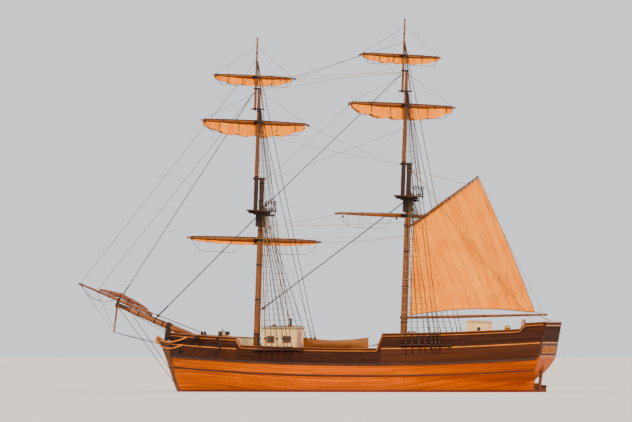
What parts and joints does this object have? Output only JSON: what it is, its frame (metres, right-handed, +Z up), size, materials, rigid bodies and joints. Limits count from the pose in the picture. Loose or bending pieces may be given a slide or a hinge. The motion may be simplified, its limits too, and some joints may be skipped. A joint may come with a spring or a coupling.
{
  "type": "two-masted brig",
  "caption": "Wooden square-rigged brig, a tall ship, with raked masts, braced yards, square sails gathered up and a gaff sail set.",
  "frame": {"origin": "on the waterplane, on the centreline, amidships", "axes": "+X towards the bow, +Y to port, +Z up"},
  "size_m": [33.5244, 9.8142, 28.2101],
  "materials": {
    "planking": "oiled planks",
    "bottom": "matt bottom paint",
    "deck_planks": "scrubbed pine",
    "dark_wood": "dark stained",
    "cream_paint": "painted",
    "varnished_spar": "varnished",
    "canvas": "flax canvas",
    "tarred_rope": "tarred rope",
    "iron": "black painted",
    "brass": "satin"
  },
  "bodies": {
    "hull": {"hull": "planking", "backbone": "bottom", "quarterdeck": "deck_planks", "main_deck": "deck_planks", "forecastle_deck": "deck_planks", "bulwarks": "dark_wood", "cap_rail": "dark_wood", "deckhouse": "cream_paint", "cargo_hatch": "dark_wood", "skylight": "varnished_spar", "companionway": "cream_paint", "windlass_bitts": "dark_wood", "steering_box": "varnished_spar", "binnacle": "brass", "ships_boat": "cream_paint", "boat_chocks": "dark_wood", "fore_fife_rail": "dark_wood", "main_fife_rail": "dark_wood", "anchor_port": "iron", "anchor_starboard": "iron", "bowsprit": "varnished_spar", "jibboom": "varnished_spar", "furled_jib": "canvas", "fore_lower_mast": "varnished_spar", "fore_upper_mast": "varnished_spar", "main_lower_mast": "varnished_spar", "main_upper_mast": "varnished_spar", "forestay": "tarred_rope", "fore_topmast_stay": "tarred_rope", "mainstay": "tarred_rope", "main_topmast_stay": "tarred_rope"},
    "rudder": {"rudder": "bottom"},
    "helm": {"steering_wheel": "varnished_spar"},
    "windlass": {"windlass_barrel": "varnished_spar"},
    "companion_door": {"companion_door": "varnished_spar"},
    "fore_course": {"fore_course_yard": "varnished_spar", "fore_course_sail": "canvas"},
    "fore_topsail": {"fore_topsail_yard": "varnished_spar", "fore_topsail_sail": "canvas"},
    "fore_topgallant": {"fore_topgallant_yard": "varnished_spar", "fore_topgallant_sail": "canvas"},
    "main_course": {"main_yard": "varnished_spar"},
    "main_topsail": {"main_topsail_yard": "varnished_spar", "main_topsail_sail": "canvas"},
    "main_topgallant": {"main_topgallant_yard": "varnished_spar", "main_topgallant_sail": "canvas"},
    "spanker": {"spanker_boom": "varnished_spar", "spanker_gaff": "varnished_spar", "spanker_sail": "canvas"}
  },
  "joints": [
    {"name": "fore_course_brace", "type": "hinge", "parent": "hull", "child": "fore_course", "pos_m": [7.14879, 0, 10.3437], "axis": [-0.0349, 0, 0.9994], "range_deg": [-5, 75]},
    {"name": "fore_topsail_brace", "type": "hinge", "parent": "hull", "child": "fore_topsail", "pos_m": [7.26935, 0, 18.35278], "axis": [-0.0349, 0, 0.9994], "range_deg": [-5, 75]},
    {"name": "fore_topgallant_brace", "type": "hinge", "parent": "hull", "child": "fore_topgallant", "pos_m": [7.421, 0, 21.45997], "axis": [-0.0349, 0, 0.9994], "range_deg": [-5, 75]},
    {"name": "main_course_brace", "type": "hinge", "parent": "hull", "child": "main_course", "pos_m": [-3.23705, 0, 11.94272], "axis": [-0.0349, 0, 0.9994], "range_deg": [-5, 75]},
    {"name": "main_topsail_brace", "type": "hinge", "parent": "hull", "child": "main_topsail", "pos_m": [-3.09904, 0, 19.45211], "axis": [-0.0349, 0, 0.9994], "range_deg": [-5, 75]},
    {"name": "main_topgallant_brace", "type": "hinge", "parent": "hull", "child": "main_topgallant", "pos_m": [-2.95611, 0, 22.80914], "axis": [-0.0349, 0, 0.9994], "range_deg": [-5, 75]},
    {"name": "spanker_swing", "type": "hinge", "parent": "hull", "child": "spanker", "pos_m": [-2.99624, 0, 5.04692], "axis": [-0.0349, 0, 0.9994], "range_deg": [-46, 30]},
    {"name": "rudder_swing", "type": "hinge", "parent": "hull", "child": "rudder", "pos_m": [-12.39, 0, 0], "axis": [-0.1386, 0, 0.9903], "range_deg": [-35, 35]},
    {"name": "helm_turn", "type": "hinge", "parent": "hull", "child": "helm", "pos_m": [-11.35, 0, 4.3006], "axis": [1, 0, 0], "range_deg": [-425, 425]},
    {"name": "windlass_turn", "type": "hinge", "parent": "hull", "child": "windlass", "pos_m": [9.7, 0, 3.6913], "axis": [0, 1, 0], "continuous": true},
    {"name": "companion_door_swing", "type": "hinge", "parent": "hull", "child": "companion_door", "pos_m": [-7.505, 0.412, 4], "axis": [0, 0, 1], "range_deg": [0, 110]}
  ],
  "couplings": [
    {"joint": "helm_turn", "follows": "rudder_swing", "ratio": 12}
  ]
}
